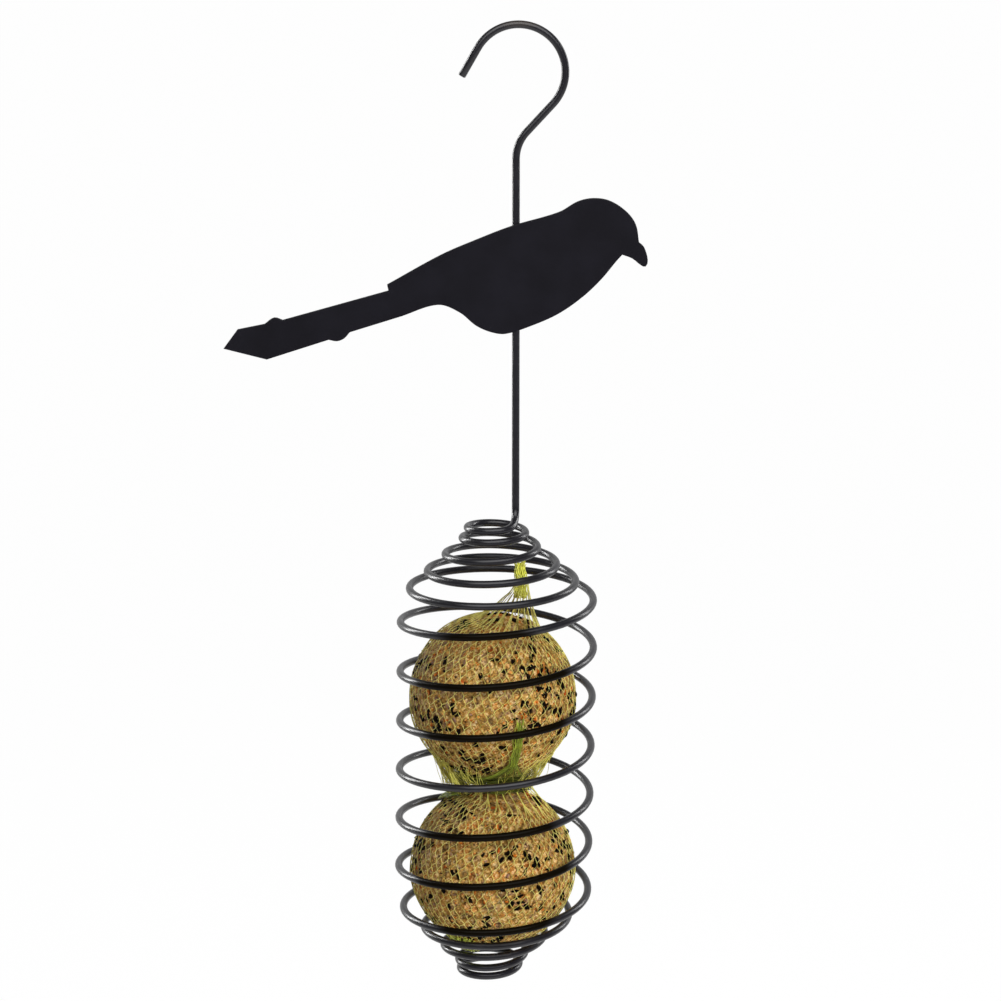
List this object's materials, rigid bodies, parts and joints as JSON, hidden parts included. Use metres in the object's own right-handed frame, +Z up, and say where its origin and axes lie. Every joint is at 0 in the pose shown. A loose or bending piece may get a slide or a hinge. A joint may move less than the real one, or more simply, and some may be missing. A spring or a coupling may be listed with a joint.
{
  "type": "suet feeder",
  "caption": "Hanging wire suet feeder: a hooked stem with a flat bird above a springy coiled cage that holds netted suet balls.",
  "frame": {"origin": "inside of the hook's crown, where the feeder hangs", "axes": "+Z up, along the stem; +X the way the bird faces; -Y the front, the side the bird is welded on"},
  "size_m": [0.1543, 0.0752, 0.3629],
  "materials": {
    "black_wire": "satin black powder coat",
    "black_plate": "satin black powder coat",
    "black_weld": "satin black powder coat over a tack weld",
    "pressed_suet": "crumbly, slightly greasy",
    "yellow_green_net": "thin glossy extruded net"
  },
  "bodies": {
    "hanger": {"hook_and_stem": "black_wire", "cage_spring": "black_wire", "bird_silhouette": "black_plate", "upper_weld": "black_weld", "lower_weld": "black_weld"},
    "cage_foot": {"cage_foot": "black_wire"},
    "lower_ball": {"lower_suet_ball": "pressed_suet", "lower_net_bag": "yellow_green_net", "lower_net_top_tie": "yellow_green_net", "lower_net_foot_tie": "yellow_green_net"},
    "upper_ball": {"upper_suet_ball": "pressed_suet", "upper_net_bag": "yellow_green_net", "upper_net_top_tie": "yellow_green_net", "upper_net_foot_tie": "yellow_green_net"}
  },
  "joints": [
    {"name": "cage_stretch", "type": "slide", "parent": "hanger", "child": "cage_foot", "axis": [0, 0, -1], "range_m": [-0.002, 0.046], "stiffness_N_per_m": 150, "springref_m": -0.01857, "deforming": ["cage_spring"]},
    {"name": "lower_ball_turn", "type": "hinge", "parent": "cage_foot", "child": "lower_ball", "pos_m": [-0.00938, 0, -0.3164], "axis": [0, 0, 1], "continuous": true},
    {"name": "upper_ball_lift", "type": "slide", "parent": "lower_ball", "child": "upper_ball", "axis": [0, 0, 1], "range_m": [0, 0.01]}
  ]
}
